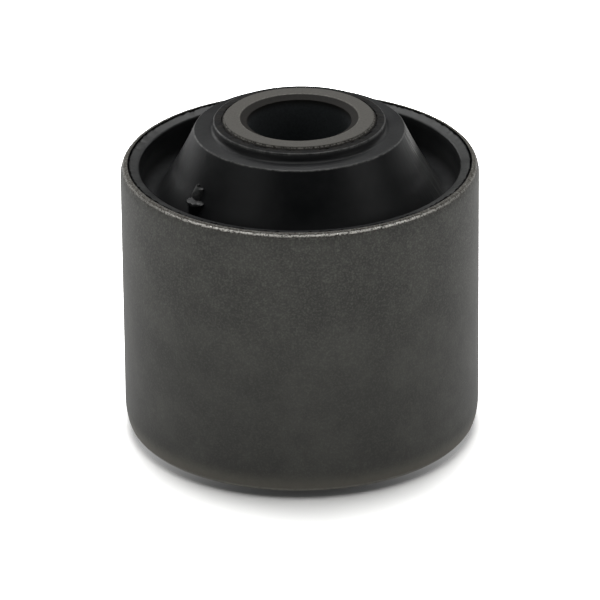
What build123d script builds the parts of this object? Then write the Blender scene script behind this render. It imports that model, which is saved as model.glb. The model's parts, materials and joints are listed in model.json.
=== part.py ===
"""Rubber-metal suspension bush: a thin steel sleeve, a thick steel inner sleeve, and rubber bonded between them.

Sizes are in millimetres. The axis of the bush is Z and the origin is on it, at the lower end of the inner
sleeve, which the bush stands on. The inner sleeve is clamped between brackets by the bolt through its bore,
so it stands proud of the outer sleeve at both ends, and the rubber ends are set back from its faces.
Every piece is a solid of revolution, apart from the mark that the moulding gate left on the upper rubber.
"""
import os
from math import atan2, cos, degrees, radians, sin, sqrt, tan

from build123d import *

# Outer sleeve: pressed into the eye of the arm
OUTER_DIAMETER = 56.0
OUTER_WALL = 1.4
OUTER_LENGTH = 44.0
RIM_ROUND_WIDTH = 0.9       # rounded outer corner at the upper rim, as wide across the wall ...
RIM_ROUND_LENGTH = 1.9      # ... and as long along the sleeve
LEAD_IN_WIDTH = 0.9         # the lower corner is drawn in further, to lead the bush into its eye
LEAD_IN_LENGTH = 3.1
RIM_EDGE_BREAK = 0.15       # chamfer on the inner corner of both rims

# Inner sleeve: clamped by the bolt
BORE_DIAMETER = 16.3        # clearance on an M16 bolt
INNER_WALL = 3.85
UPPER_PROUD = 7.5           # how far the inner sleeve stands above the outer one
LOWER_PROUD = 1.0           # how far it stands below it
BORE_CHAMFER_WIDTH = 1.0
BORE_CHAMFER_DEPTH = 0.75
FACE_EDGE_BREAK = 0.3       # chamfer on the outer corner of both end faces

# Rubber: each end has a collar round the inner sleeve, a flat land, a hollow cone, a groove and a lip
COLLAR_SETBACK = 0.4        # collar end, back from the face of the inner sleeve
COLLAR_THICKNESS = 1.4
COLLAR_HEIGHT = 1.5
COLLAR_EDGE_RADIUS = 0.5
COLLAR_ROOT_RADIUS = 0.7
LAND_WIDTH = 3.0
LAND_EDGE_RADIUS = 0.35
FLANK_RADIUS = 88.0         # the cone is slightly hollow
GROOVE_DEPTH = 5.6          # from the rim of the outer sleeve
GROOVE_RADIUS = 1.4
LIP_WIDTH = 1.6
LIP_SLOPE_DROP = 0.4        # the top of the lip falls this much towards the groove
LIP_DRAFT = 6.0             # degrees
LIP_EDGE_RADIUS = 0.35
LIP_SETBACK = 0.1           # outer edge of the lip, back from the rim

# Gate mark on the upper cone: a small flat pad, with the torn stub of the sprue standing behind it
GATE_AZIMUTH = 216.7        # degrees round Z from X
GATE_PAD_DIAMETER = 2.8
GATE_PAD_BELOW_RIM = 1.5    # flat top of the pad, down from the upper rim
GATE_PAD_LEDGE = 0.2        # how far that flat stands over the cone, on the pad's own axis
GATE_STUB_ROOT_DIAMETER = 1.9
GATE_STUB_TIP_DIAMETER = 1.35
GATE_STUB_OFFSET = 0.85     # axis of the stub, nearer the bush's axis than that of the pad
GATE_STUB_HEIGHT = 2.75     # above the pad
GATE_EMBEDDED = 3.0         # how far pad and stub are continued down inside the rubber

# Radii and heights that follow
OUTER_RADIUS = OUTER_DIAMETER / 2
BOND_RADIUS = OUTER_RADIUS - OUTER_WALL
BORE_RADIUS = BORE_DIAMETER / 2
INNER_RADIUS = BORE_RADIUS + INNER_WALL
LOWER_RIM = LOWER_PROUD
UPPER_RIM = LOWER_RIM + OUTER_LENGTH
TOP = UPPER_RIM + UPPER_PROUD
COLLAR_RADIUS = INNER_RADIUS + COLLAR_THICKNESS
LAND_RADIUS = COLLAR_RADIUS + LAND_WIDTH


def revolved(edges, rounds=()):
    """Solid of revolution about Z of an outline drawn as (radius, height); rounds lists (corner, radius)."""
    profile = make_face(edges)
    for corner, radius in rounds:
        profile = fillet(profile.vertices().sort_by_distance((*corner, 0))[0], radius)
    return revolve(Plane.XZ * profile, Axis.Z)


def outer_sleeve():
    """Steel tube: rounded upper rim, longer lead-in at the lower one, broken inner corners."""
    lead_in_centre = (OUTER_RADIUS - LEAD_IN_WIDTH, LOWER_RIM + LEAD_IN_LENGTH)
    round_centre = (OUTER_RADIUS - RIM_ROUND_WIDTH, UPPER_RIM - RIM_ROUND_LENGTH)
    lead_in = EllipticalCenterArc(lead_in_centre, LEAD_IN_WIDTH, LEAD_IN_LENGTH, 270, arc_size=90)
    upper_round = EllipticalCenterArc(round_centre, RIM_ROUND_WIDTH, RIM_ROUND_LENGTH, 0, arc_size=90)
    inside = Polyline(
        upper_round @ 1,
        (BOND_RADIUS + RIM_EDGE_BREAK, UPPER_RIM),
        (BOND_RADIUS, UPPER_RIM - RIM_EDGE_BREAK),
        (BOND_RADIUS, LOWER_RIM + RIM_EDGE_BREAK),
        (BOND_RADIUS + RIM_EDGE_BREAK, LOWER_RIM),
        lead_in @ 0,
    )
    return revolved([lead_in, Line(lead_in @ 1, upper_round @ 0), upper_round, inside])


def inner_sleeve():
    """Thick turned steel tube, chamfered at both mouths of the bore."""
    outline = Polyline(
        (BORE_RADIUS, BORE_CHAMFER_DEPTH),
        (BORE_RADIUS + BORE_CHAMFER_WIDTH, 0),
        (INNER_RADIUS - FACE_EDGE_BREAK, 0),
        (INNER_RADIUS, FACE_EDGE_BREAK),
        (INNER_RADIUS, TOP - FACE_EDGE_BREAK),
        (INNER_RADIUS - FACE_EDGE_BREAK, TOP),
        (BORE_RADIUS + BORE_CHAMFER_WIDTH, TOP),
        (BORE_RADIUS, TOP - BORE_CHAMFER_DEPTH),
        close=True,
    )
    return revolved(outline.edges())


def groove_centre():
    """Centre of the arc at the bottom of the groove, as (radius, height over the rim)."""
    height = GROOVE_RADIUS - GROOVE_DEPTH
    draft = radians(LIP_DRAFT)
    wall_depth = -LIP_SETBACK - LIP_SLOPE_DROP - height
    wall_radius = BOND_RADIUS - LIP_WIDTH - wall_depth * tan(draft)
    return Vector(wall_radius - GROOVE_RADIUS / cos(draft), height)


def flank_centre(land_height):
    """Centre of the hollow flank: an arc from the edge of the land that runs tangent into the groove's arc."""
    land_edge = Vector(LAND_RADIUS, land_height)
    chord = groove_centre() - land_edge
    inner_radius = FLANK_RADIUS - GROOVE_RADIUS
    along = (FLANK_RADIUS**2 - inner_radius**2 + chord.length**2) / (2 * chord.length)
    across = sqrt(FLANK_RADIUS**2 - along**2)
    direction = chord.normalized()
    return land_edge + direction * along + direction.rotate(Axis.Z, 90) * across


def arc_between(centre, radius, start, end):
    """Arc about a centre between two points on it, by way of the middle."""
    middle = centre + ((start - centre) + (end - centre)).normalized() * radius
    return start, middle, end


def rubber_end(proud, rim, up):
    """Outline of one end of the rubber from the inner to the outer bond, and its rounded corners.

    Heights count outwards from the rim of the outer sleeve: upwards where up is 1, downwards where it is -1.
    """
    collar_height = proud - COLLAR_SETBACK
    land_height = collar_height - COLLAR_HEIGHT
    draft = radians(LIP_DRAFT)
    groove, flank = groove_centre(), flank_centre(land_height)

    bond_corner = Vector(INNER_RADIUS, collar_height)
    collar_edge = Vector(COLLAR_RADIUS, collar_height)
    collar_root = Vector(COLLAR_RADIUS, land_height)
    land_edge = Vector(LAND_RADIUS, land_height)
    flank_foot = groove + (groove - flank).normalized() * GROOVE_RADIUS
    wall_foot = groove + Vector(cos(draft), -sin(draft)) * GROOVE_RADIUS
    lip_edge = Vector(BOND_RADIUS - LIP_WIDTH, -LIP_SETBACK - LIP_SLOPE_DROP)
    lip_corner = Vector(BOND_RADIUS, -LIP_SETBACK)

    def placed(points):
        return [(point.X, rim + up * point.Y) for point in points]

    edges = [
        *Polyline(*placed([bond_corner, collar_edge, collar_root, land_edge])).edges(),
        ThreePointArc(*placed(arc_between(flank, FLANK_RADIUS, land_edge, flank_foot))),
        ThreePointArc(*placed(arc_between(groove, GROOVE_RADIUS, flank_foot, wall_foot))),
        *Polyline(*placed([wall_foot, lip_edge, lip_corner])).edges(),
    ]
    corners = placed([collar_edge, collar_root, land_edge, lip_edge])
    radii = [COLLAR_EDGE_RADIUS, COLLAR_ROOT_RADIUS, LAND_EDGE_RADIUS, LIP_EDGE_RADIUS]
    return edges, list(zip(corners, radii))


def gate_mark():
    """Pad and torn stub of the gate, standing upright on the upper cone."""
    pad_top = UPPER_RIM - GATE_PAD_BELOW_RIM
    flank = flank_centre(UPPER_PROUD - COLLAR_SETBACK - COLLAR_HEIGHT)
    cone_height = -GATE_PAD_BELOW_RIM - GATE_PAD_LEDGE
    pad_distance = flank.X - sqrt(FLANK_RADIUS**2 - (cone_height - flank.Y)**2)
    stub_distance = pad_distance - GATE_STUB_OFFSET
    length = GATE_EMBEDDED + GATE_STUB_HEIGHT
    upwards = (Align.CENTER, Align.CENTER, Align.MIN)
    pad = Cylinder(GATE_PAD_DIAMETER / 2, GATE_EMBEDDED, align=upwards)
    stub = Cone(GATE_STUB_ROOT_DIAMETER / 2, GATE_STUB_TIP_DIAMETER / 2, length, align=upwards)
    foot = pad_top - GATE_EMBEDDED
    mark = Pos(pad_distance, 0, foot) * pad + Pos(stub_distance, 0, foot) * stub
    return Rot(0, 0, GATE_AZIMUTH) * mark


def rubber_body():
    """Rubber between the sleeves, bonded to both, with the gate mark on its upper cone."""
    upper_edges, upper_rounds = rubber_end(UPPER_PROUD, UPPER_RIM, 1)
    lower_edges, lower_rounds = rubber_end(LOWER_PROUD, LOWER_RIM, -1)
    bonds = [
        Line(upper_edges[0] @ 0, lower_edges[0] @ 0),
        Line(upper_edges[-1] @ 1, lower_edges[-1] @ 1),
    ]
    body = revolved([*upper_edges, *lower_edges, *bonds], upper_rounds + lower_rounds)
    return body + gate_mark()


def main():
    os.makedirs("parts", exist_ok=True)
    pieces = {
        "outer_sleeve": outer_sleeve(),
        "rubber_body": rubber_body(),
        "inner_sleeve": inner_sleeve(),
    }
    for name, piece in pieces.items():
        export_step(piece, f"parts/{name}.step")


if __name__ == "__main__":
    main()
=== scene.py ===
"""Rubber-metal suspension bush: a modelling and shading add-on, also run as a script.

Three pieces are turned about Z in edit mode, in metres: the thin steel outer sleeve, the rubber moulding
bonded inside it, and the thick steel inner sleeve. The torn mark of the moulding gate stands on the upper
cone of the rubber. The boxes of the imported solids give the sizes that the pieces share.
"""
import json
import math

import bpy
from mathutils import Matrix, Vector

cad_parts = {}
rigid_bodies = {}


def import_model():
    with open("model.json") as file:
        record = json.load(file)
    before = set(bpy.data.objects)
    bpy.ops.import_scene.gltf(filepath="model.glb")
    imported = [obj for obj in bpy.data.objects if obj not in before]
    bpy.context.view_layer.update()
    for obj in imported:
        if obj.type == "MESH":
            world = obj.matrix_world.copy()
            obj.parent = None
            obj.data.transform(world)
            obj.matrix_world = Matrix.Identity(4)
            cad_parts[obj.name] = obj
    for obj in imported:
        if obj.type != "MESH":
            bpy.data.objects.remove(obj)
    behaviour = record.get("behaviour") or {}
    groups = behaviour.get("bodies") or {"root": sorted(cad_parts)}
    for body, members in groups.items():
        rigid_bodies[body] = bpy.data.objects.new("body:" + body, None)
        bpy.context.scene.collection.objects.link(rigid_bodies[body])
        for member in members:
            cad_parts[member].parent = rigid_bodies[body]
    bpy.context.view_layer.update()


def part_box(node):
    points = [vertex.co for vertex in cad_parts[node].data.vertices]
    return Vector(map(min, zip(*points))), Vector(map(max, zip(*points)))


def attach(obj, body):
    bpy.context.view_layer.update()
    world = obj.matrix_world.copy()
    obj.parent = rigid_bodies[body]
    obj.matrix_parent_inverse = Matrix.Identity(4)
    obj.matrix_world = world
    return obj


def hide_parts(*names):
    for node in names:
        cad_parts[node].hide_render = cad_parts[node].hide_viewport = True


bl_info = {
    "name": "Rubber-metal bush",
    "version": (1, 0, 0),
    "blender": (4, 5, 0),
    "location": "View3D > Sidebar > Bush",
    "description": "Models and shades a bonded rubber-metal suspension bush",
    "category": "Object",
}

MM = 0.001

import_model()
SLEEVE_LOW, SLEEVE_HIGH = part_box("outer_sleeve")
TUBE_LOW, TUBE_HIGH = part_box("inner_sleeve")
RUBBER_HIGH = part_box("rubber_body")[1]

UPPER_RIM = SLEEVE_HIGH.z
LOWER_RIM = SLEEVE_LOW.z
OUTER_RADIUS = SLEEVE_HIGH.x
BOND_RADIUS = RUBBER_HIGH.x
TUBE_RADIUS = TUBE_HIGH.x
TUBE_TOP = TUBE_HIGH.z
TUBE_FOOT = TUBE_LOW.z
SLEEVE_MIDDLE = Vector((0, 0, (LOWER_RIM + UPPER_RIM) / 2))

# Facets round the axis
SLEEVE_FACETS = 384
RUBBER_FACETS = 448
TUBE_FACETS = 256
POST_FACETS = 28
UPWARDS = 0.9                   # a face whose normal rises more than this is an upper end

# Gate mark: shapes that its settings don't hold
PAD_FOOT_SHARE = 0.86           # radius of the pad's foot, as a share of its plate's
PAD_TILT = math.radians(-9)
PAD_DISH = (0.3 * MM, 0.05 * MM)
STUB_TILT = math.radians(-14)
STUB_RIM = (0.2 * MM, 0.06 * MM)
STUB_HOLLOW = (0.16 * MM, -0.14 * MM)
STUB_TIPS = (-0.42 * MM, 0.36 * MM)
STUB_TIPS_BACK = 0.1 * MM
STUB_TIP_HEIGHT = 0.28 * MM
TORN_REACH = 2.6 * MM           # the torn finish stays this near to the pad ...
TORN_SKIN = 0.12 * MM           # ... and starts this far above the cone

# Softboxes: name, place in metres, side in metres, power in watts
SOFTBOXES = (
    ("key_softbox", (0, 0.7, 1.1), 0.9, 7.5),
    ("overhead_softbox", (0, 0.05, 1.3), 1.1, 6.5),
    ("left_softbox", (-0.9, 0.9, 0.5), 0.7, 4.0),
    ("right_softbox", (0.9, 0.9, 0.5), 0.7, 1.9),
    ("left_fill", (-0.95, -0.75, 0.5), 0.7, 1.4),
    ("right_fill", (1.12, -0.45, 0.5), 0.7, 1.5),
)
ROOM_LIGHT = 0.02
BURNT_OUT = (3.4, 3.4, 3.37)    # floor colour for the camera, which clips to white outside the shadow
WHITE = (1.0, 1.0, 1.0, 1.0)


# ---------------------------------------------------------------- colours and settings

def linear(hex_colour):
    """RGBA in scene-linear light from an sRGB hex value such as '#3b3b38'."""
    channels = [int(hex_colour[i:i + 2], 16) / 255 for i in (1, 3, 5)]
    return tuple(c / 12.92 if c <= 0.04045 else ((c + 0.055) / 1.055) ** 2.4 for c in channels) + (1.0,)


def length(name, description, default):
    """A length property in metres."""
    return bpy.props.FloatProperty(name=name, description=description, default=default, unit="LENGTH",
                                   subtype="DISTANCE", precision=5)


def paint(name, description, hex_colour):
    """A colour property, given as sRGB hex."""
    return bpy.props.FloatVectorProperty(name=name, description=description, subtype="COLOR", size=4,
                                         min=0, max=1, default=linear(hex_colour))


class BushSleeveSettings(bpy.types.PropertyGroup):
    round_width: length("Rim round width", "Rounded upper corner, across the wall", 0.9 * MM)
    round_length: length("Rim round length", "Rounded upper corner, along the sleeve", 1.9 * MM)
    lead_in_width: length("Lead-in width", "Drawn-in lower corner, across the wall", 1.2 * MM)
    lead_in_length: length("Lead-in length", "Drawn-in lower corner, along the sleeve", 4.2 * MM)
    edge_break: length("Edge break", "Chamfer on the inner corner of the lower rim", 0.15 * MM)
    mouth_width: length("Mouth width", "Counterbore inside the upper rim, across the wall", 0.26 * MM)
    mouth_depth: length("Mouth depth", "The same counterbore, along the sleeve", 0.7 * MM)
    rim_nicks: length("Rim nicks", "Unevenness of the rounded corners from the press tool", 0.06 * MM)
    grain: length("Phosphate grain", "Size of the crystals that show as speckle", 0.3 * MM)
    coat: paint("Phosphate coat", "Dark grey zinc phosphate", "#535350")
    coat_light: paint("Light crystals", "Lighter crystals and handling marks in the coat", "#83837d")
    rubbed: paint("Rubbed coat", "Thin brownish coat on the pressed rim", "#443f38")
    # Painted reflection of the white floor on the downward-facing lead-in
    drawn: paint("Drawn foot", "Lead-in, polished by the drawing die", "#85827a")
    # Bond primer inside, and on the rim's -Y side also the painted shade of the seam
    stain: paint("Stain", "Bond primer and rubber on the inside", "#0d0d0d")
    # Bare steel at the rim's rounded corner; on the -Y side it is also a painted highlight
    bare: paint("Bare steel", "Crest of the rim, rubbed bare", "#f2efe8")


class BushRubberSettings(bpy.types.PropertyGroup):
    collar_setback: length("Collar setback", "Collar end, back from the inner sleeve's face", 0.4 * MM)
    collar_thickness: length("Collar thickness", "Rubber round the inner sleeve's end", 1.4 * MM)
    collar_height: length("Collar height", "From the land to the collar's end", 1.5 * MM)
    collar_edge: length("Collar edge radius", "Outer edge of the collar", 0.25 * MM)
    collar_root: length("Collar root radius", "Fillet between collar and land", 0.7 * MM)
    land_width: length("Land width", "Flat ring outside the collar", 3.0 * MM)
    land_edge: length("Land edge radius", "Edge between land and cone", 0.35 * MM)
    flank_radius: length("Cone hollow radius", "Radius of the slightly hollow cone", 88.0 * MM)
    groove_depth: length("Groove depth", "Below the rim of the outer sleeve", 5.6 * MM)
    groove_radius: length("Groove radius", "Round bottom of the groove", 1.4 * MM)
    lip_width: length("Lip width", "Rubber lip inside the outer sleeve", 1.5 * MM)
    lip_drop: length("Lip slope", "Fall of the lip towards the groove", 0.4 * MM)
    lip_edge: length("Lip edge radius", "Inner edge of the lip", 0.35 * MM)
    lip_setback: length("Lip setback", "Outer edge of the lip, back from the rim", 0.1 * MM)
    lip_flare: length("Lip flare", "Spread of the upper lip over the sleeve's mouth", 0.22 * MM)
    lip_draft: bpy.props.FloatProperty(name="Lip draft", description="Slope of the groove's outer wall",
                                       subtype="ANGLE", default=math.radians(6))
    seam: length("Seam width", "Open joint between the rubber and the sleeves", 0.26 * MM)
    seam_depth: length("Seam depth", "Depth of that joint", 0.7 * MM)
    unevenness: length("Unevenness", "Slow waves of the moulded surface", 0.06 * MM)
    black: paint("Rubber black", "Carbon-black filled natural rubber", "#0a0c0e")
    bloom: paint("Bloom", "Faint grey wax bloom", "#151718")
    # This grey also colours the painted sheen on the lips
    scuff_grey_and_lip_sheen: paint("Scuffed rubber", "Dull grey scuffs and torn rubber", "#3c3d3c")
    flash: paint("Flash", "Rough brownish skin on top of the collar", "#1e1c19")
    # Painted highlight on the moulding's sharp edges; the same grey also colours the real scrape on the cone
    edge: paint("Rubbed edges", "Sharp edges of the moulding, rubbed grey", "#8a8a87")


class BushTubeSettings(bpy.types.PropertyGroup):
    bore_radius: length("Bore radius", "Clearance on the bolt", 8.15 * MM)
    chamfer_width: length("Bore chamfer width", "Across the end face", 1.2 * MM)
    chamfer_depth: length("Bore chamfer depth", "Along the bore", 0.6 * MM)
    edge_break: length("Edge break", "Outer corner of the end faces", 0.45 * MM)
    feed: length("Facing marks", "Spacing of the tool marks on the end face, coarser than real so that they show",
                 2.827 * MM)
    face: paint("Turned face", "End face, turned and lightly coated", "#575550")
    skin: paint("Tube skin", "Coated chamfer and outside", "#1b1814")
    bore: paint("Bore", "Bluish coat inside the bore", "#404446")
    # Bare steel, and also a painted highlight on the end face's edges
    bare: paint("Bare edge", "Edges of the end face, rubbed bare", "#b9b6ae")


class BushGateSettings(bpy.types.PropertyGroup):
    pad_azimuth: bpy.props.FloatProperty(name="Pad azimuth", description="Round Z from X", subtype="ANGLE",
                                         default=math.radians(218.2))
    pad_distance: length("Pad distance", "Axis of the pad from the bush's axis", 20.45 * MM)
    pad_radius: length("Pad radius", "Flat pad under the sprue", 1.4 * MM)
    pad_drop: length("Pad drop", "Flat top of the pad, below the rim", 1.05 * MM)
    pad_plate: length("Pad plate", "Thickness of the pad's overhanging plate", 0.3 * MM)
    stub_azimuth: bpy.props.FloatProperty(name="Stub azimuth", description="Round Z from X", subtype="ANGLE",
                                          default=math.radians(215.6))
    stub_distance: length("Stub distance", "Axis of the torn stub from the bush's axis", 19.1 * MM)
    stub_radius: length("Stub radius", "At its foot", 1.2 * MM)
    stub_tip: length("Stub tip radius", "At the torn end", 0.78 * MM)
    stub_rise: length("Stub rise", "Torn end, above the rim", 0.75 * MM)
    stub_taper: length("Stub taper", "Length of its tapered end", 1.3 * MM)
    stub_lean: length("Stub lean", "How far its end leans towards +X", 0.25 * MM)
    sunk: length("Sunk depth", "How far both run on inside the rubber", 4.6 * MM)


class BushStageSettings(bpy.types.PropertyGroup):
    elevation: bpy.props.FloatProperty(name="Camera elevation", description="Above the horizon",
                                       subtype="ANGLE", default=math.radians(24.93))
    distance: length("Camera distance", "From the middle of the outer sleeve", 952.2 * MM)
    roll: bpy.props.FloatProperty(name="Camera roll", description="The picture leans this much",
                                  subtype="ANGLE", default=math.radians(-0.562))
    lens: bpy.props.FloatProperty(name="Lens", description="Focal length on a 36 mm sensor",
                                  default=362.8, subtype="DISTANCE_CAMERA")
    aim_right: length("Aim right", "Aimed point, right of the sleeve's middle", -0.16 * MM)
    aim_up: length("Aim up", "Aimed point, above the sleeve's middle", -1.73 * MM)
    floor: paint("Floor", "Pale floor as the object sees it", "#e8e8e6")


# ---------------------------------------------------------------- modelling by operators

def deselect():
    """Deselects every object."""
    bpy.ops.object.select_all(action="DESELECT")


def turn(name, outline, facets):
    """Turns a closed (radius, height) outline about Z: a circle is extruded along it and joined to its start."""
    deselect()
    radius, height = outline[0]
    bpy.ops.mesh.primitive_circle_add(vertices=facets, radius=radius, location=(0, 0, height))
    ring = bpy.context.object
    ring.name = name
    ring.data.name = name
    bpy.ops.object.transform_apply(location=True, rotation=True, scale=True)
    bpy.ops.object.mode_set(mode="EDIT")
    for next_radius, next_height in outline[1:] + outline[:1]:
        bpy.ops.mesh.extrude_edges_move(TRANSFORM_OT_translate={"value": (0, 0, next_height - height)})
        widen = next_radius / radius
        bpy.ops.transform.resize(value=(widen, widen, 1), center_override=(0, 0, 0))
        radius, height = next_radius, next_height
    bpy.ops.mesh.select_all(action="SELECT")
    bpy.ops.mesh.remove_doubles(threshold=1e-6)
    bpy.ops.mesh.normals_make_consistent(inside=False)
    bpy.ops.object.mode_set(mode="OBJECT")
    return ring


def point_group(piece, name, chosen):
    """Vertex group of the points whose place passes the test."""
    group = piece.vertex_groups.new(name=name)
    group.add([v.index for v in piece.data.vertices if chosen(v.co)], 1.0, "REPLACE")
    return name


def uneven(piece, name, size, height, group, along="NORMAL"):
    """Moves the points of a group by a cloud noise of that size, with a Displace modifier that is applied."""
    clouds = bpy.data.textures.new(name, "CLOUDS")
    clouds.noise_scale = size
    clouds.noise_depth = 3
    clouds.cloud_type = "COLOR" if along == "RGB_TO_XYZ" else "GRAYSCALE"
    deselect()
    piece.select_set(True)
    bpy.context.view_layer.objects.active = piece
    bpy.ops.object.modifier_add(type="DISPLACE")
    waves = piece.modifiers[-1]
    waves.texture = clouds
    waves.texture_coords = "LOCAL"
    waves.direction = along
    waves.strength = height
    waves.mid_level = 0.5
    waves.vertex_group = group
    bpy.ops.object.modifier_apply(modifier=waves.name)


def around_axis(azimuth, distance):
    """The point on the floor at a bearing and a distance from the bush's axis."""
    return Vector((math.cos(azimuth), math.sin(azimuth), 0)) * distance


def smooth(piece, degrees):
    """Smooth shading, with edges sharper than the angle kept."""
    deselect()
    piece.select_set(True)
    bpy.context.view_layer.objects.active = piece
    bpy.ops.object.shade_smooth_by_angle(angle=math.radians(degrees))


def arc(centre, radius, start, end, steps):
    """Points on an arc from one angle to another, in degrees; radius may be a pair for an ellipse."""
    across, along = radius if isinstance(radius, tuple) else (radius, radius)
    angles = [math.radians(start + (end - start) * i / steps) for i in range(steps + 1)]
    return [(centre[0] + across * math.cos(a), centre[1] + along * math.sin(a)) for a in angles]


def rounded(before, corner, after, radius, steps=5):
    """Points of the arc that rounds a corner between two straight runs."""
    before, corner, after = Vector(before), Vector(corner), Vector(after)
    back, on = (before - corner).normalized(), (after - corner).normalized()
    half = back.angle(on) / 2
    centre = corner + (back + on).normalized() * radius / math.sin(half)
    first = corner + back * radius / math.tan(half)
    last = corner + on * radius / math.tan(half)
    points = []
    for i in range(steps + 1):
        spoke = (first - centre).normalized().slerp((last - centre).normalized(), i / steps)
        points.append(tuple(centre + spoke * radius))
    return points


def finish(piece, node, materials):
    """Puts materials on a finished piece, and lets it stand for its solid."""
    piece.data.materials.clear()
    for material in materials:
        piece.data.materials.append(material)
    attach(piece, "root")
    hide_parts(node)


# ---------------------------------------------------------------- materials

# Sockets by number, because their names repeat: Map Range, the Math nodes and colour Mix
VALUE, LOW, HIGH, TO_LOW, TO_HIGH = range(5)
FIRST, SECOND, THIRD = range(3)
SHARE, UNDER, OVER, MIXED = 0, 6, 7, 2

SMOOTH = {"interpolation_type": "SMOOTHSTEP"}
COLOURS = {"data_type": "RGBA"}
SCALED = {"operation": "SCALE"}
PLUS = {"operation": "ADD"}
TIMES = {"operation": "MULTIPLY"}
TIMES_PLUS = {"operation": "MULTIPLY_ADD"}
MINUS = {"operation": "SUBTRACT"}
LARGER = {"operation": "MAXIMUM"}
SIZE_OF = {"operation": "ABSOLUTE"}
WAVE_SPACING = 2 * math.pi / 20     # of a Wave Texture's rings, at a scale of 1


def add(tree, kind, settings, inputs, output=0):
    """Adds a shader node, sets its properties and its sockets, links the sockets that are given an output, and
    returns one of its own outputs."""
    node = tree.nodes.new("ShaderNode" + kind)
    for name, value in settings.items():
        setattr(node, name, value)
    for socket, value in inputs.items():
        if isinstance(value, bpy.types.NodeSocket):
            tree.links.new(value, node.inputs[socket])
        else:
            node.inputs[socket].default_value = value
    return node.outputs[output] if node.outputs else node


def new_material(name):
    """An empty node material, with its tree."""
    material = bpy.data.materials.new(name)
    material.use_nodes = True
    material.node_tree.nodes.clear()
    return material, material.node_tree


def places(tree):
    """Object place, its height, and its distance from the bush's axis."""
    place = add(tree, "TexCoord", {}, {}, "Object")
    height = add(tree, "SeparateXYZ", {}, {"Vector": place}, "Z")
    flat = add(tree, "VectorMath", TIMES, {FIRST: place, SECOND: (1, 1, 0)})
    distance = add(tree, "VectorMath", {"operation": "LENGTH"}, {FIRST: flat}, "Value")
    return place, height, distance


def bearings(tree, height):
    """Bearing round the axis, and how far that is from the -Y side, both in radians."""
    apart = height.node.outputs
    bearing = add(tree, "Math", {"operation": "ARCTAN2"}, {FIRST: apart["Y"], SECOND: apart["X"]})
    off_front = add(tree, "Math", PLUS, {FIRST: bearing, SECOND: math.pi / 2})
    off_front = add(tree, "Math", SIZE_OF, {FIRST: off_front})
    return bearing, off_front


def ring_line(tree, distance, radius, faint, full, strength=1.0):
    """A thin line round the axis: nothing further than faint from its radius, full strength nearer than full."""
    off_line = add(tree, "Math", MINUS, {FIRST: distance, SECOND: radius})
    off_line = add(tree, "Math", SIZE_OF, {FIRST: off_line})
    return add(tree, "MapRange", SMOOTH, {VALUE: off_line, LOW: faint, HIGH: full, TO_HIGH: strength})


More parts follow.
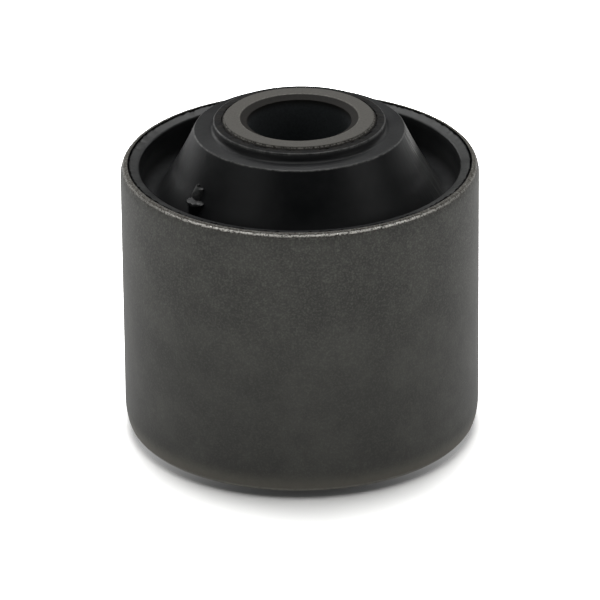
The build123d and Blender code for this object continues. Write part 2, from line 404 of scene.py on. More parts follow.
def phosphated_steel(settings):
    """Zinc-phosphated mild steel, drawn tube: dull dark grey with a fine crystal speckle, bare steel at the rims, a
    painted highlight on the upper rim's -Y side and a painted reflection of the floor on the lead-in.
    """
    material, tree = new_material("zinc_phosphated_drawn_steel")
    place, height, distance = places(tree)
    off_front = bearings(tree, height)[1]

    # Crystals show as speckle, stronger near the top, in slow patches left by the bath
    crystals = add(tree, "TexNoise", {}, {
        "Vector": place, "Scale": 1 / settings.grain, "Detail": 2.0, "Roughness": 0.6})
    clumps = add(tree, "TexNoise", {}, {"Vector": place, "Scale": 1 / (0.9 * MM), "Detail": 4.0, "Roughness": 0.65})
    patches = add(tree, "TexNoise", {}, {"Vector": place, "Scale": 1 / (8 * MM), "Detail": 4.0, "Roughness": 0.6})
    speckle = add(tree, "MapRange", SMOOTH, {VALUE: crystals, LOW: 0.44, HIGH: 0.72})
    clumped = add(tree, "MapRange", SMOOTH, {VALUE: clumps, LOW: 0.42, HIGH: 0.7})
    sparkle = add(tree, "Math", TIMES_PLUS, {FIRST: clumped, SECOND: 0.32, THIRD: speckle})
    strong = add(tree, "MapRange", SMOOTH, {
        VALUE: height, LOW: 16 * MM, HIGH: UPPER_RIM - 4 * MM, TO_LOW: 0.34, TO_HIGH: 0.9})
    light = add(tree, "Math", TIMES, {FIRST: sparkle, SECOND: strong})
    patched = add(tree, "MapRange", SMOOTH, {VALUE: patches, LOW: 0.35, HIGH: 0.7, TO_LOW: 0.0, TO_HIGH: 0.2})
    light = add(tree, "Math", TIMES_PLUS, {FIRST: light, SECOND: 0.52, THIRD: patched})
    coat = add(tree, "Mix", COLOURS, {SHARE: light, UNDER: settings.coat[:], OVER: settings.coat_light[:]}, MIXED)

    # Pressed rim: the coat is thin and brownish. Lead-in: a lighter colour, a painted reflection of the white floor.
    # Both borders are ragged
    wobble = add(tree, "Math", TIMES_PLUS, {FIRST: clumps, SECOND: 1.0 * MM, THIRD: height})
    rim = add(tree, "MapRange", SMOOTH, {VALUE: wobble, LOW: UPPER_RIM - 0.6 * MM, HIGH: UPPER_RIM + 0.5 * MM})
    foot = add(tree, "MapRange", SMOOTH, {
        VALUE: wobble, LOW: LOWER_RIM + 4.4 * MM, HIGH: LOWER_RIM + 0.9 * MM, TO_LOW: 0.0, TO_HIGH: 1.0})
    rubbed = add(tree, "Mix", COLOURS, {
        SHARE: sparkle, UNDER: settings.rubbed[:], OVER: settings.coat_light[:]}, MIXED)
    base = add(tree, "Mix", COLOURS, {SHARE: rim, UNDER: coat, OVER: rubbed}, MIXED)
    base = add(tree, "Mix", COLOURS, {SHARE: foot, UNDER: base, OVER: settings.drawn[:]}, MIXED)

    # Crest of the rounded corner: a thin line of bare steel, broken into sparkling chips, strongest on the -Y side,
    # where it is also a painted highlight, with a fainter one at the foot
    off_crest = add(tree, "Math", MINUS, {FIRST: distance, SECOND: OUTER_RADIUS - 0.41 * MM})
    off_crest = add(tree, "Math", SIZE_OF, {FIRST: off_crest})
    wander = add(tree, "Math", TIMES_PLUS, {FIRST: clumps, SECOND: 0.16 * MM, THIRD: off_crest})
    across = add(tree, "MapRange", SMOOTH, {VALUE: wander, LOW: 0.22 * MM, HIGH: 0.14 * MM})
    above = add(tree, "MapRange", SMOOTH, {VALUE: height, LOW: UPPER_RIM - 0.7 * MM, HIGH: UPPER_RIM - 0.55 * MM})
    painted_light_side = add(tree, "MapRange", SMOOTH, {
        VALUE: off_front, LOW: math.radians(62), HIGH: math.radians(28), TO_LOW: 0.22, TO_HIGH: 1.0})
    upper_line = add(tree, "Math", TIMES, {FIRST: across, SECOND: above})
    upper_line = add(tree, "Math", TIMES, {FIRST: upper_line, SECOND: painted_light_side})
    lower_line = add(tree, "MapRange", SMOOTH, {
        VALUE: height, LOW: LOWER_RIM + 0.7 * MM, HIGH: LOWER_RIM + 0.5 * MM, TO_LOW: 0.0, TO_HIGH: 0.25})
    line = add(tree, "Math", LARGER, {FIRST: upper_line, SECOND: lower_line})
    chips = add(tree, "MapRange", SMOOTH, {VALUE: crystals, LOW: 0.34, HIGH: 0.52})
    bare_crest_and_highlight = add(tree, "Math", TIMES, {FIRST: line, SECOND: chips})
    base = add(tree, "Mix", COLOURS, {SHARE: bare_crest_and_highlight, UNDER: base, OVER: settings.bare[:]}, MIXED)

    # Inside is black with bond primer, and on the -Y side the black reaches over the flat of the rim as painted shade
    # of the seam
    mouth_radius = BOND_RADIUS + settings.mouth_width
    reach = add(tree, "Math", TIMES_PLUS, {FIRST: painted_light_side, SECOND: 0.34 * MM, THIRD: mouth_radius + 0.02 * MM})
    primer_and_seam_shade = add(tree, "MapRange", SMOOTH, {VALUE: distance, LOW: reach, HIGH: mouth_radius})
    base = add(tree, "Mix", COLOURS, {SHARE: primer_and_seam_shade, UNDER: base, OVER: settings.stain[:]}, MIXED)
    metal = add(tree, "Math", TIMES, {FIRST: bare_crest_and_highlight, SECOND: 0.3})
    rough = add(tree, "MapRange", {}, {VALUE: bare_crest_and_highlight, LOW: 0.0, HIGH: 1.0, TO_LOW: 0.45, TO_HIGH: 0.36})

    fine = add(tree, "Bump", {}, {"Height": crystals, "Strength": 0.5, "Distance": 0.05 * MM})
    battered = add(tree, "Math", TIMES, {FIRST: rim, SECOND: 0.5})
    battered = add(tree, "Math", LARGER, {FIRST: line, SECOND: battered})
    dents = add(tree, "Math", TIMES, {FIRST: clumps, SECOND: battered})
    hammered = add(tree, "Bump", {}, {"Height": dents, "Strength": 1.0, "Distance": 0.5 * MM, "Normal": fine})
    shader = add(tree, "BsdfPrincipled", {}, {
        "Base Color": base, "Metallic": metal, "Roughness": rough, "Specular IOR Level": 0.22, "Normal": hammered})
    add(tree, "OutputMaterial", {}, {"Surface": shader})
    return material


def moulded_rubber(settings):
    """Carbon-black natural rubber, compression moulded: near black and half dull, with bloom, scuffs and ripples,
    painted highlights on the moulded edges, a painted sheen on the lips and painted shade at the seam.
    """
    material, tree = new_material("moulded_natural_rubber")
    place, height, distance = places(tree)
    bearing, off_front = bearings(tree, height)
    collar_end = TUBE_TOP - settings.collar_setback
    collar_radius = TUBE_RADIUS + settings.collar_thickness
    land_height = collar_end - settings.collar_height
    land_radius = collar_radius + settings.land_width
    cloud = add(tree, "TexNoise", {}, {"Vector": place, "Scale": 1 / (7 * MM), "Detail": 5.0, "Roughness": 0.6})
    bloomed = add(tree, "MapRange", SMOOTH, {VALUE: cloud, LOW: 0.42, HIGH: 0.78})
    base = add(tree, "Mix", COLOURS, {SHARE: bloomed, UNDER: settings.black[:], OVER: settings.bloom[:]}, MIXED)

    # Scuffs run down the cone on its +X side, as streaks about 0.45 mm wide
    round_way = add(tree, "Math", TIMES, {FIRST: bearing, SECOND: 20 * MM})
    down_way = add(tree, "Math", TIMES, {FIRST: distance, SECOND: 0.2})
    strip = add(tree, "CombineXYZ", {}, {"X": round_way, "Y": down_way})
    scratches = add(tree, "TexNoise", {}, {
        "Vector": strip, "Scale": 1 / (0.45 * MM), "Detail": 4.0, "Roughness": 0.6})
    streaks = add(tree, "MapRange", SMOOTH, {VALUE: scratches, LOW: 0.4, HIGH: 0.7, TO_LOW: 0.35, TO_HIGH: 1.3})
    from_side = add(tree, "MapRange", SMOOTH, {VALUE: bearing, LOW: math.radians(-26), HIGH: math.radians(-4)})
    to_side = add(tree, "MapRange", SMOOTH, {VALUE: bearing, LOW: math.radians(14), HIGH: math.radians(2)})
    side = add(tree, "Math", TIMES, {FIRST: from_side, SECOND: to_side})
    top = add(tree, "MapRange", SMOOTH, {VALUE: distance, LOW: land_radius - 0.1 * MM, HIGH: land_radius + 0.4 * MM})
    fading = add(tree, "MapRange", SMOOTH, {
        VALUE: distance, LOW: BOND_RADIUS - 1.6 * MM, HIGH: BOND_RADIUS - 5.6 * MM})
    upper_end = add(tree, "MapRange", SMOOTH, {VALUE: height, LOW: UPPER_RIM - 8 * MM, HIGH: UPPER_RIM - 5 * MM})
    scuffs = side
    for mask in (top, fading, streaks, upper_end):
        scuffs = add(tree, "Math", TIMES, {FIRST: scuffs, SECOND: mask})

    # Lips carry a painted sheen of grazing reflection, in patches, lighter than the moulding between them, except on
    # the -Y side, and most on the +X side
    lip = add(tree, "MapRange", SMOOTH, {VALUE: distance, LOW: BOND_RADIUS - 1.7 * MM, HIGH: BOND_RADIUS - 1.2 * MM})
    sheen_patches = add(tree, "MapRange", SMOOTH, {VALUE: cloud, LOW: 0.25, HIGH: 0.75, TO_LOW: 0.35, TO_HIGH: 0.8})
    painted_light_side = add(tree, "MapRange", SMOOTH, {VALUE: off_front, LOW: math.radians(25), HIGH: math.radians(70)})
    more_to_plus_x = add(tree, "MapRange", {}, {
        VALUE: height.node.outputs["X"], LOW: -BOND_RADIUS, HIGH: BOND_RADIUS, TO_LOW: 0.9, TO_HIGH: 2.0})
    lip_sheen = lip
    for mask in (sheen_patches, painted_light_side, more_to_plus_x):
        lip_sheen = add(tree, "Math", TIMES, {FIRST: lip_sheen, SECOND: mask})
    # Real scuffs on the cone and the painted sheen on the lips share one grey
    dull = add(tree, "Math", LARGER, {FIRST: scuffs, SECOND: lip_sheen})
    base = add(tree, "Mix", COLOURS, {SHARE: dull, UNDER: base, OVER: settings.scuff_grey_and_lip_sheen[:]}, MIXED)

    # Rough flash all over the top of the collar
    near = add(tree, "MapRange", SMOOTH, {
        VALUE: distance, LOW: collar_radius - 0.15 * MM, HIGH: collar_radius - 0.3 * MM})
    ended = add(tree, "MapRange", SMOOTH, {VALUE: height, LOW: collar_end - 0.5 * MM, HIGH: collar_end - 0.3 * MM})
    flash = add(tree, "Math", TIMES, {FIRST: near, SECOND: ended})
    blotches = add(tree, "TexNoise", {}, {"Vector": place, "Scale": 1 / (1.1 * MM), "Detail": 4.0, "Roughness": 0.7})
    blotched = add(tree, "MapRange", SMOOTH, {VALUE: blotches, LOW: 0.35, HIGH: 0.65})
    blotched = add(tree, "Math", TIMES, {FIRST: blotched, SECOND: flash})
    base = add(tree, "Mix", COLOURS, {SHARE: blotched, UNDER: base, OVER: settings.flash[:]}, MIXED)

    # The collar's edge and the land's edge carry thin broken grey lines: painted highlights where these edges catch the
    # light
    collar_edge_highlight = ring_line(tree, distance, collar_radius - 0.08 * MM, 0.11 * MM, 0.05 * MM)
    collar_edge_highlight = add(tree, "Math", TIMES, {FIRST: collar_edge_highlight, SECOND: ended})
    land_edge_highlight = ring_line(tree, distance, land_radius, 0.13 * MM, 0.05 * MM)
    upon = add(tree, "MapRange", SMOOTH, {VALUE: height, LOW: land_height - 0.5 * MM, HIGH: land_height - 0.3 * MM})
    land_edge_highlight = add(tree, "Math", TIMES, {FIRST: land_edge_highlight, SECOND: upon})
    edges = add(tree, "Math", LARGER, {FIRST: collar_edge_highlight, SECOND: land_edge_highlight})
    broken = add(tree, "MapRange", SMOOTH, {VALUE: blotches, LOW: 0.35, HIGH: 0.65, TO_LOW: 0.08, TO_HIGH: 0.34})
    edges = add(tree, "Math", TIMES, {FIRST: edges, SECOND: broken})
    base = add(tree, "Mix", COLOURS, {SHARE: edges, UNDER: base, OVER: settings.edge[:]}, MIXED)

    # A scrape at the top of the cone, on the +X side
    off_x = add(tree, "Math", SIZE_OF, {FIRST: bearing})
    beside = add(tree, "MapRange", SMOOTH, {VALUE: off_x, LOW: math.radians(11), HIGH: math.radians(5)})
    ending = add(tree, "MapRange", SMOOTH, {
        VALUE: distance, LOW: land_radius + 2.4 * MM, HIGH: land_radius + 1.0 * MM})
    thin = add(tree, "MapRange", SMOOTH, {VALUE: scratches, LOW: 0.42, HIGH: 0.54})
    scraped = beside
    for mask in (top, ending, upper_end, thin):
        scraped = add(tree, "Math", TIMES, {FIRST: scraped, SECOND: mask})
    base = add(tree, "Mix", COLOURS, {SHARE: scraped, UNDER: base, OVER: settings.edge[:]}, MIXED)

    # Flash, the groove, the -Y side of the lip and its outer edge are duller than the cone and the land
    grit = add(tree, "TexNoise", {}, {"Vector": place, "Scale": 1 / (0.3 * MM), "Detail": 2.0, "Roughness": 0.6})
    rough = add(tree, "MapRange", SMOOTH, {VALUE: cloud, LOW: 0.3, HIGH: 0.7, TO_LOW: 0.38, TO_HIGH: 0.5})
    deep = add(tree, "MapRange", SMOOTH, {
        VALUE: height, LOW: UPPER_RIM - 1.5 * MM, HIGH: UPPER_RIM - 4.5 * MM, TO_LOW: 0.0, TO_HIGH: 0.8})
    toward_front = add(tree, "MapRange", {}, {VALUE: painted_light_side, LOW: 1.0, HIGH: 0.0})
    seam_shade = add(tree, "MapRange", SMOOTH, {VALUE: distance, LOW: BOND_RADIUS - 0.25 * MM, HIGH: BOND_RADIUS})
    duller = add(tree, "Math", TIMES, {FIRST: toward_front, SECOND: lip})
    for mask in (seam_shade, flash, deep):
        duller = add(tree, "Math", LARGER, {FIRST: duller, SECOND: mask})
    # Painted shade of the open seam: the lip's outer edge there is plain black
    base = add(tree, "Mix", COLOURS, {SHARE: seam_shade, UNDER: base, OVER: settings.black[:]}, MIXED)
    rough = add(tree, "Math", TIMES_PLUS, {FIRST: duller, SECOND: 0.45, THIRD: rough})
    gritty = add(tree, "Math", TIMES_PLUS, {FIRST: flash, SECOND: 8.0, THIRD: 1.0})
    relief = add(tree, "Math", TIMES, {FIRST: grit, SECOND: gritty})
    fine = add(tree, "Bump", {}, {"Height": relief, "Strength": 0.25, "Distance": 0.03 * MM})
    slow = add(tree, "Bump", {}, {"Height": cloud, "Strength": 0.4, "Distance": 0.2 * MM, "Normal": fine})
    shader = add(tree, "BsdfPrincipled", {}, {
        "Base Color": base, "Roughness": rough, "Specular IOR Level": 0.32, "Normal": slow})
    add(tree, "OutputMaterial", {}, {"Surface": shader})
    return material


def torn_rubber(settings):
    """The same rubber where the gate was torn off: duller and greyer than the moulded skin, with a crumbly grain."""
    material, tree = new_material("torn_natural_rubber")
    place = add(tree, "TexCoord", {}, {}, "Object")
    crumbs = add(tree, "TexNoise", {}, {"Vector": place, "Scale": 1 / (0.5 * MM), "Detail": 4.0, "Roughness": 0.7})
    torn = add(tree, "MapRange", SMOOTH, {VALUE: crumbs, LOW: 0.35, HIGH: 0.7})
    base = add(tree, "Mix", COLOURS, {SHARE: torn, UNDER: settings.bloom[:], OVER: settings.scuff_grey_and_lip_sheen[:]}, MIXED)
    bumps = add(tree, "Bump", {}, {"Height": crumbs, "Strength": 0.6, "Distance": 0.15 * MM})
    shader = add(tree, "BsdfPrincipled", {}, {
        "Base Color": base, "Roughness": 0.5, "Specular IOR Level": 0.5, "Normal": bumps})
    add(tree, "OutputMaterial", {}, {"Surface": shader})
    return material


def turned_steel(settings):
    """Turned mild steel tube, thinly phosphated: lighter on the end faces, darker in the bore and on its chamfer."""
    material, tree = new_material("turned_phosphated_steel")
    place, height, distance = places(tree)
    speckle = add(tree, "TexNoise", {}, {"Vector": place, "Scale": 1 / (0.35 * MM), "Detail": 3.0, "Roughness": 0.6})
    rings = add(tree, "TexWave", {"wave_type": "RINGS", "rings_direction": "Z", "wave_profile": "SAW"}, {
        "Vector": place, "Scale": WAVE_SPACING / settings.feed, "Distortion": 1.5, "Detail": 2.0,
        "Detail Scale": 1.0}, "Fac")
    middle = (TUBE_FOOT + TUBE_TOP) / 2
    half = TUBE_TOP - middle
    off_middle = add(tree, "Math", MINUS, {FIRST: height, SECOND: middle})
    off_middle = add(tree, "Math", SIZE_OF, {FIRST: off_middle})
    on_face = add(tree, "MapRange", SMOOTH, {VALUE: off_middle, LOW: half - 0.12 * MM, HIGH: half - 0.02 * MM})
    base = add(tree, "Mix", COLOURS, {SHARE: on_face, UNDER: settings.skin[:], OVER: settings.face[:]}, MIXED)
    deep = add(tree, "MapRange", SMOOTH, {VALUE: off_middle, LOW: half - settings.chamfer_depth, HIGH: half - 2 * MM})
    inner = add(tree, "MapRange", SMOOTH, {VALUE: distance, LOW: TUBE_RADIUS - 2 * MM, HIGH: settings.bore_radius})
    inside = add(tree, "Math", TIMES, {FIRST: deep, SECOND: inner})
    base = add(tree, "Mix", COLOURS, {SHARE: inside, UNDER: base, OVER: settings.bore[:]}, MIXED)
    shade = add(tree, "MapRange", SMOOTH, {VALUE: speckle, LOW: 0.3, HIGH: 0.7, TO_LOW: 0.85, TO_HIGH: 1.15})
    base = add(tree, "VectorMath", SCALED, {FIRST: base, "Scale": shade})

    # Both edges of the end face are rubbed bare in short broken lines, which also serve as a painted highlight where
    # the edges catch the light
    ends = add(tree, "MapRange", SMOOTH, {VALUE: off_middle, LOW: half - 0.35 * MM, HIGH: half - 0.2 * MM})
    rim = add(tree, "MapRange", SMOOTH, {
        VALUE: distance, LOW: TUBE_RADIUS - 0.42 * MM, HIGH: TUBE_RADIUS - 0.28 * MM})
    mouth = ring_line(tree, distance, settings.bore_radius + settings.chamfer_width, 0.14 * MM, 0.05 * MM, 0.5)
    edge = add(tree, "Math", LARGER, {FIRST: rim, SECOND: mouth})
    edge = add(tree, "Math", TIMES, {FIRST: edge, SECOND: ends})
    scraped = add(tree, "TexNoise", {}, {"Vector": place, "Scale": 1 / (0.4 * MM), "Detail": 3.0, "Roughness": 0.6})
    chips = add(tree, "MapRange", SMOOTH, {VALUE: scraped, LOW: 0.36, HIGH: 0.66})
    bare = add(tree, "Math", TIMES, {FIRST: edge, SECOND: chips})
    faint = add(tree, "Math", TIMES, {FIRST: bare, SECOND: 0.42})
    base = add(tree, "Mix", COLOURS, {SHARE: faint, UNDER: base, OVER: settings.bare[:]}, MIXED)
    metal = add(tree, "Math", TIMES, {FIRST: bare, SECOND: 0.5})

    rough = add(tree, "MapRange", {}, {VALUE: on_face, LOW: 0.0, HIGH: 1.0, TO_LOW: 0.75, TO_HIGH: 0.5})
    relief = add(tree, "Math", TIMES_PLUS, {FIRST: rings, SECOND: 0.5, THIRD: speckle})
    bumps = add(tree, "Bump", {}, {"Height": relief, "Strength": 0.3, "Distance": 0.03 * MM})
    shader = add(tree, "BsdfPrincipled", {}, {
        "Base Color": base, "Metallic": metal, "Roughness": rough, "Specular IOR Level": 0.3, "Normal": bumps})
    add(tree, "OutputMaterial", {}, {"Surface": shader})
    return material


def pale_floor(settings):
    """Matt white table: white in reflections, burnt out to white for the camera, with the object's shadow kept,
    deepened by painted contact shade and lifted by a painted glow except on the -Y side.
    """
    material, tree = new_material("matt_white_table")
    camera = add(tree, "LightPath", {}, {}, "Is Camera Ray")
    rays = camera.node.outputs
    mirrored = add(tree, "Math", LARGER, {FIRST: rays["Is Glossy Ray"], SECOND: rays["Is Transmission Ray"]})
    lighting = add(tree, "BsdfDiffuse", {}, {"Color": settings.floor[:]})
    white = add(tree, "BsdfDiffuse", {}, {"Color": WHITE})
    # Painted contact shade: for the camera, the floor darkens with ambient occlusion near the object
    hidden = add(tree, "AmbientOcclusion", {"samples": 12}, {"Distance": 24 * MM}, "AO")
    open_part = add(tree, "MapRange", {}, {VALUE: hidden, LOW: 0.4, HIGH: 0.8, TO_LOW: 0.15, TO_HIGH: 1.0})
    seen = add(tree, "VectorMath", SCALED, {FIRST: BURNT_OUT, "Scale": open_part})
    burnt = add(tree, "BsdfDiffuse", {}, {"Color": seen})
    # Painted light: for the camera, a white glow lightens the floor's shadow except on the -Y side
    place = add(tree, "TexCoord", {}, {}, "Object")
    forward = add(tree, "SeparateXYZ", {}, {"Vector": place}, "Y")
    lift = add(tree, "MapRange", SMOOTH, {VALUE: forward, LOW: -28 * MM, HIGH: -8 * MM, TO_LOW: 0.01, TO_HIGH: 0.3})
    glow = add(tree, "Emission", {}, {"Color": WHITE, "Strength": lift})
    burnt = add(tree, "AddShader", {}, {FIRST: burnt, SECOND: glow})
    unseen = add(tree, "MixShader", {}, {"Fac": mirrored, SECOND: lighting, THIRD: white})
    floor = add(tree, "MixShader", {}, {"Fac": camera, SECOND: unseen, THIRD: burnt})
    add(tree, "OutputMaterial", {}, {"Surface": floor})
    return material


# ---------------------------------------------------------------- outer sleeve

def sleeve_outline(s):
    """Closed outline of the outer sleeve, from the lower inner corner round the outside."""
    lead_in = arc((OUTER_RADIUS - s.lead_in_width, LOWER_RIM + s.lead_in_length),
                  (s.lead_in_width, s.lead_in_length), 270, 360, steps=14)
    rounding = arc((OUTER_RADIUS - s.round_width, UPPER_RIM - s.round_length),
                   (s.round_width, s.round_length), 0, 90, steps=16)
    inside = [
        (BOND_RADIUS + s.mouth_width, UPPER_RIM),
        (BOND_RADIUS + s.mouth_width, UPPER_RIM - s.mouth_depth),
        (BOND_RADIUS, UPPER_RIM - s.mouth_depth - s.mouth_width),
        (BOND_RADIUS, LOWER_RIM + s.edge_break),
        (BOND_RADIUS + s.edge_break, LOWER_RIM),
    ]
    return lead_in + rounding + inside


class BUSH_OT_outer_sleeve(bpy.types.Operator):
    """Turn the thin outer sleeve, with its rounded rim and its lead-in"""

    bl_idname = "bush.outer_sleeve"
    bl_label = "Outer sleeve"

    def execute(self, context):
        s = context.scene.bush_sleeve
        sleeve = turn("phosphated_outer_sleeve", sleeve_outline(s), SLEEVE_FACETS)
        corners = point_group(sleeve, "corners", lambda p: (
            p.z > UPPER_RIM - s.round_length * 0.9 or p.z < LOWER_RIM + s.lead_in_length * 0.9)
            and p.xy.length > BOND_RADIUS + s.edge_break * 0.5)
        uneven(sleeve, "press_marks", size=1.2 * MM, height=s.rim_nicks, group=corners, along="RGB_TO_XYZ")
        smooth(sleeve, degrees=40)
        finish(sleeve, "outer_sleeve", [phosphated_steel(s)])
        return {"FINISHED"}


# ---------------------------------------------------------------- rubber body

def rubber_end(s, proud, flare):
    """Outline of one rubber end from the inner to the outer bond; heights count outwards from the sleeve's rim.

    The flare is how far the lip spreads over the counterbored mouth of the sleeve.
    """
    collar_height = proud - s.collar_setback
    land_height = collar_height - s.collar_height
    collar_radius = TUBE_RADIUS + s.collar_thickness
    land_radius = collar_radius + s.land_width
    lip_radius, lip_height = BOND_RADIUS - s.lip_width, -s.lip_setback - s.lip_drop

    bottom = s.groove_radius - s.groove_depth
    groove = Vector((lip_radius - (lip_height - bottom) * math.tan(s.lip_draft)
                     - s.groove_radius / math.cos(s.lip_draft), bottom))
    land_edge = Vector((land_radius, land_height))
    chord = groove - land_edge
    inner = s.flank_radius - s.groove_radius
    along = (s.flank_radius**2 - inner**2 + chord.length**2) / (2 * chord.length)
    across = math.sqrt(s.flank_radius**2 - along**2)
    unit = chord.normalized()
    flank = land_edge + unit * along + Vector((-unit.y, unit.x)) * across

    def bearing(centre, point):
        return math.degrees(math.atan2(point[1] - centre[1], point[0] - centre[0])) % 360

    foot_bearing = bearing(flank, groove)
    cone = arc(flank, s.flank_radius, bearing(flank, land_edge), foot_bearing, steps=20)
    bowl = arc(groove, s.groove_radius, foot_bearing, 360 - math.degrees(s.lip_draft), steps=14)

    bond, edge = (TUBE_RADIUS + s.seam / 2, collar_height), (collar_radius, collar_height)
    root, land = (collar_radius, land_height), tuple(land_edge)
    lip, corner = (lip_radius, lip_height), (BOND_RADIUS + flare - s.seam, -s.lip_setback)
    middle_land = ((collar_radius + land_radius) / 2, land_height)
    return (
        [(TUBE_RADIUS, collar_height - s.seam_depth), (bond[0], collar_height - s.seam_depth), bond,
         ((TUBE_RADIUS + collar_radius) / 2, collar_height)]
        + rounded(bond, edge, root, s.collar_edge)
        + rounded(edge, root, land, s.collar_root, steps=6)
        + [middle_land]
        + rounded(root, land, cone[1], s.land_edge, steps=6)
        + cone[1:]
        + bowl[1:]
        + rounded(bowl[-1], lip, corner, s.lip_edge)
        + [((lip_radius + BOND_RADIUS) / 2, (lip_height - s.lip_setback) / 2), corner,
           (corner[0], -s.seam_depth), (BOND_RADIUS, -s.seam_depth - flare)]
    )


def rubber_outline(s):
    """Closed outline of the rubber: the upper end outwards, down the outer bond, and the lower end inwards."""
    upper = [(r, UPPER_RIM + h) for r, h in rubber_end(s, TUBE_TOP - UPPER_RIM, s.lip_flare)]
    lower = [(r, LOWER_RIM - h) for r, h in rubber_end(s, LOWER_RIM - TUBE_FOOT, 0)]
    return upper + lower[::-1]


def cone_height(outline, radius):
    """Height of the rubber's upper end at a distance from the axis."""
    for (inner, low), (outer, high) in zip(outline, outline[1:]):
        if inner <= radius <= outer:
            return UPPER_RIM + low + (high - low) * (radius - inner) / max(outer - inner, 1e-9)
    return UPPER_RIM


def gate_post(name, distance, azimuth, radius, foot, top):
    """A post that stands on Z at a distance and a bearing from the axis, in edit mode with its end selected."""
    deselect()
    side = around_axis(azimuth, distance)
    bpy.ops.mesh.primitive_cylinder_add(vertices=POST_FACETS, radius=radius, depth=top - foot,
                                        location=side + Vector((0, 0, (top + foot) / 2)))
    post = bpy.context.object
    post.name = name
    bpy.ops.object.transform_apply(location=True, rotation=True, scale=True)
    bpy.ops.object.mode_set(mode="EDIT")
    bpy.ops.mesh.select_mode(type="FACE")
    bpy.ops.mesh.select_all(action="DESELECT")
    bpy.ops.object.mode_set(mode="OBJECT")
    for face in post.data.polygons:
        face.select = face.normal.z > UPWARDS
    bpy.ops.object.mode_set(mode="EDIT")
    return post, side + Vector((0, 0, top))


def crumble(seed, amount):
    """Roughens the selected end of a post, and leaves edit mode."""
    bpy.ops.mesh.poke()
    bpy.ops.mesh.select_more()
    bpy.ops.transform.vertex_random(offset=amount, uniform=1.0, normal=0.0, seed=seed)
    bpy.ops.object.mode_set(mode="OBJECT")


def gate_pad(s):
    """The pad under the sprue: a round foot with a thin plate that overhangs it."""
    top = UPPER_RIM - s.pad_drop
    pad, centre = gate_post("gate_pad", s.pad_distance, s.pad_azimuth, s.pad_radius * PAD_FOOT_SHARE,
                            top - s.sunk, top - s.pad_plate)
    bpy.ops.mesh.extrude_region_move(TRANSFORM_OT_translate={"value": (0, 0, 0)})
    bpy.ops.transform.resize(value=(1 / PAD_FOOT_SHARE, 1 / PAD_FOOT_SHARE, 1), center_override=centre)
    bpy.ops.mesh.extrude_region_move(TRANSFORM_OT_translate={"value": (0, 0, s.pad_plate)})
    lifted = centre + Vector((0, 0, s.pad_plate))
    bpy.ops.transform.rotate(value=PAD_TILT, orient_axis="Y", center_override=lifted)
    bpy.ops.mesh.inset(thickness=PAD_DISH[0], depth=PAD_DISH[1])
    crumble(seed=3, amount=0.13 * MM)
    return pad


def gate_stub(s):
    """The stub of the sprue: tapered, torn off slanting, with two small tips left standing on its end."""
    shoulder = UPPER_RIM + s.stub_rise - s.stub_taper
    stub, centre = gate_post("gate_stub", s.stub_distance, s.stub_azimuth, s.stub_radius,
                             UPPER_RIM - s.pad_drop - s.sunk, shoulder)
    reach = Vector((s.stub_lean, 0, s.stub_taper))
    centre = centre + reach
    bpy.ops.mesh.extrude_region_move(TRANSFORM_OT_translate={"value": reach})
    narrow = s.stub_tip / s.stub_radius
    bpy.ops.transform.resize(value=(narrow, narrow, 1), center_override=centre)
    bpy.ops.transform.rotate(value=STUB_TILT, orient_axis="X", center_override=centre)
    for thickness, depth in (STUB_RIM, STUB_HOLLOW):
        bpy.ops.mesh.inset(thickness=thickness, depth=depth)
    crumble(seed=8, amount=0.12 * MM)
    bpy.ops.object.mode_set(mode="EDIT")
    bpy.ops.mesh.select_mode(type="VERT")
    for aside in STUB_TIPS:
        bpy.ops.mesh.select_all(action="DESELECT")
        bpy.ops.object.mode_set(mode="OBJECT")
        spot = centre + Vector((aside, STUB_TIPS_BACK, 0))
        nearest = min(stub.data.vertices, key=lambda v: (v.co - spot).length)
        nearest.select = True
        bpy.ops.object.mode_set(mode="EDIT")
        bpy.ops.transform.translate(value=(0, 0, STUB_TIP_HEIGHT))
    bpy.ops.object.mode_set(mode="OBJECT")
    return stub


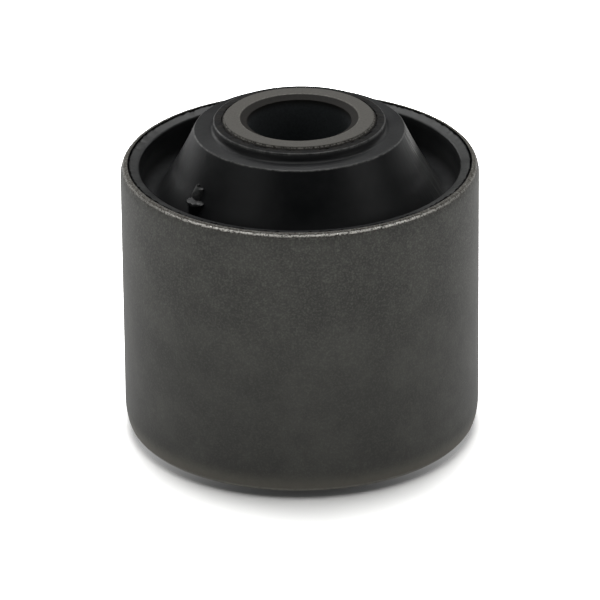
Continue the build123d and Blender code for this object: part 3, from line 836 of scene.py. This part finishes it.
class BUSH_OT_rubber_body(bpy.types.Operator):
    """Turn the rubber moulding with its grooved ends, and join the torn gate mark to it"""

    bl_idname = "bush.rubber_body"
    bl_label = "Rubber body"

    def execute(self, context):
        s = context.scene.bush_rubber
        gate = context.scene.bush_gate
        rubber = turn("moulded_rubber_body", rubber_outline(s), RUBBER_FACETS)
        free = point_group(rubber, "free_surface", lambda p: (
            BOND_RADIUS - 2 * s.seam > p.xy.length > TUBE_RADIUS + 2 * s.seam))
        uneven(rubber, "mould_waves", size=5 * MM, height=s.unevenness, group=free)
        on_line = 0.01 * MM
        seams = point_group(rubber, "seams", lambda p: (
            abs(p.xy.length - BOND_RADIUS - s.lip_flare + s.seam) < on_line
            and p.z > UPPER_RIM - s.seam_depth * 0.9
            or abs(p.xy.length - TUBE_RADIUS - s.seam / 2) < on_line))
        uneven(rubber, "ragged_seams", size=0.6 * MM, height=0.6 * MM, group=seams, along="RGB_TO_XYZ")
        for mark in (gate_pad(gate), gate_stub(gate)):
            deselect()
            rubber.select_set(True)
            context.view_layer.objects.active = rubber
            bpy.ops.object.modifier_add(type="BOOLEAN")
            union = rubber.modifiers[-1]
            union.operation = "UNION"
            union.solver = "EXACT"
            union.object = mark
            bpy.ops.object.modifier_apply(modifier=union.name)
            bpy.data.objects.remove(mark)
        smooth(rubber, degrees=38)
        finish(rubber, "rubber_body", [moulded_rubber(s), torn_rubber(s)])
        middle = around_axis(gate.pad_azimuth, gate.pad_distance)
        cone_end = rubber_end(s, TUBE_TOP - UPPER_RIM, s.lip_flare)
        for face in rubber.data.polygons:
            place = face.center
            near = (place.xy - middle.xy).length < TORN_REACH
            if near and place.z > UPPER_RIM - gate.pad_drop - gate.pad_plate * 2:
                face.material_index = int(place.z > cone_height(cone_end, place.xy.length) + TORN_SKIN)
        return {"FINISHED"}


# ---------------------------------------------------------------- inner sleeve

class BUSH_OT_inner_sleeve(bpy.types.Operator):
    """Turn the thick inner sleeve with its chamfered bore"""

    bl_idname = "bush.inner_sleeve"
    bl_label = "Inner sleeve"

    def execute(self, context):
        s = context.scene.bush_tube
        half = [
            (s.bore_radius, s.chamfer_depth),
            (s.bore_radius + s.chamfer_width, 0),
            (TUBE_RADIUS - s.edge_break, 0),
            (TUBE_RADIUS, s.edge_break),
        ]
        low = [(r, TUBE_FOOT + h) for r, h in half]
        high = [(r, TUBE_TOP - h) for r, h in half[::-1]]
        tube = turn("turned_inner_sleeve", low + high, TUBE_FACETS)
        smooth(tube, degrees=25)
        finish(tube, "inner_sleeve", [turned_steel(s)])
        return {"FINISHED"}


# ---------------------------------------------------------------- stage

def softbox(name, place, size, power):
    """A square area lamp that faces the middle of the outer sleeve."""
    facing = (SLEEVE_MIDDLE - Vector(place)).to_track_quat("-Z", "Y").to_euler()
    bpy.ops.object.light_add(type="AREA", location=place, rotation=facing)
    lamp = bpy.context.object
    lamp.name = name
    lamp.data.shape = "SQUARE"
    lamp.data.size = size
    lamp.data.energy = power


class BUSH_OT_stage(bpy.types.Operator):
    """Add the floor, the soft lamps, the world and the camera"""

    bl_idname = "bush.stage"
    bl_label = "Stage"

    def execute(self, context):
        s = context.scene.bush_stage
        deselect()
        bpy.ops.mesh.primitive_plane_add(size=8, location=(0, 0, 0))
        floor = context.object
        floor.name = "white_table"
        floor.data.materials.append(pale_floor(s))

        for lamp in SOFTBOXES:
            softbox(*lamp)

        world = bpy.data.worlds.new("pale_room")
        world.use_nodes = True
        room = world.node_tree.nodes["Background"].inputs
        room["Color"].default_value = WHITE
        room["Strength"].default_value = ROOM_LIGHT
        context.scene.world = world
        context.scene.view_settings.view_transform = "Standard"
        self.camera(context, s)
        return {"FINISHED"}

    def camera(self, context, s):
        """Camera on the -Y side, aimed a little off the middle of the outer sleeve, and rolled."""
        away = Vector((0, -math.cos(s.elevation), math.sin(s.elevation)))
        right = Vector((1, 0, 0))
        aim = SLEEVE_MIDDLE + right * s.aim_right + right.cross(-away) * s.aim_up
        place = SLEEVE_MIDDLE + away * s.distance
        forward = (aim - place).normalized()
        level = forward.cross(Vector((0, 0, 1))).normalized()
        above = level.cross(forward)
        side = level * math.cos(s.roll) + above * math.sin(s.roll)
        up = above * math.cos(s.roll) - level * math.sin(s.roll)
        facing = Matrix((side, up, -forward)).transposed()
        deselect()
        bpy.ops.object.camera_add(location=place, rotation=facing.to_euler())
        camera = context.object
        camera.name = "camera"
        camera.data.lens = s.lens
        camera.data.clip_start = 0.05
        camera.data.clip_end = 20
        context.scene.camera = camera


class BUSH_PT_panel(bpy.types.Panel):
    """Sizes and colours of the bush, and the button for each of its pieces"""

    bl_label = "Rubber-metal bush"
    bl_idname = "BUSH_PT_panel"
    bl_space_type = "VIEW_3D"
    bl_region_type = "UI"
    bl_category = "Bush"

    def draw(self, context):
        for operator, settings in STEPS:
            box = self.layout.box()
            box.operator(operator)
            for group in settings:
                values = getattr(context.scene, group)
                for key in values.__annotations__:
                    box.prop(values, key)


GROUPS = {
    "bush_sleeve": BushSleeveSettings,
    "bush_rubber": BushRubberSettings,
    "bush_tube": BushTubeSettings,
    "bush_gate": BushGateSettings,
    "bush_stage": BushStageSettings,
}
STEPS = (
    ("bush.outer_sleeve", ("bush_sleeve",)),
    ("bush.rubber_body", ("bush_rubber", "bush_gate")),
    ("bush.inner_sleeve", ("bush_tube",)),
    ("bush.stage", ("bush_stage",)),
)
CLASSES = (*GROUPS.values(), BUSH_OT_outer_sleeve, BUSH_OT_rubber_body, BUSH_OT_inner_sleeve,
           BUSH_OT_stage, BUSH_PT_panel)


def register():
    for cls in CLASSES:
        bpy.utils.register_class(cls)
    for name, group in GROUPS.items():
        setattr(bpy.types.Scene, name, bpy.props.PointerProperty(type=group))


def unregister():
    for name in GROUPS:
        delattr(bpy.types.Scene, name)
    for cls in reversed(CLASSES):
        bpy.utils.unregister_class(cls)


def main():
    register()
    bpy.ops.bush.outer_sleeve()
    bpy.ops.bush.rubber_body()
    bpy.ops.bush.inner_sleeve()
    bpy.ops.bush.stage()


if __name__ == "__main__":
    main()
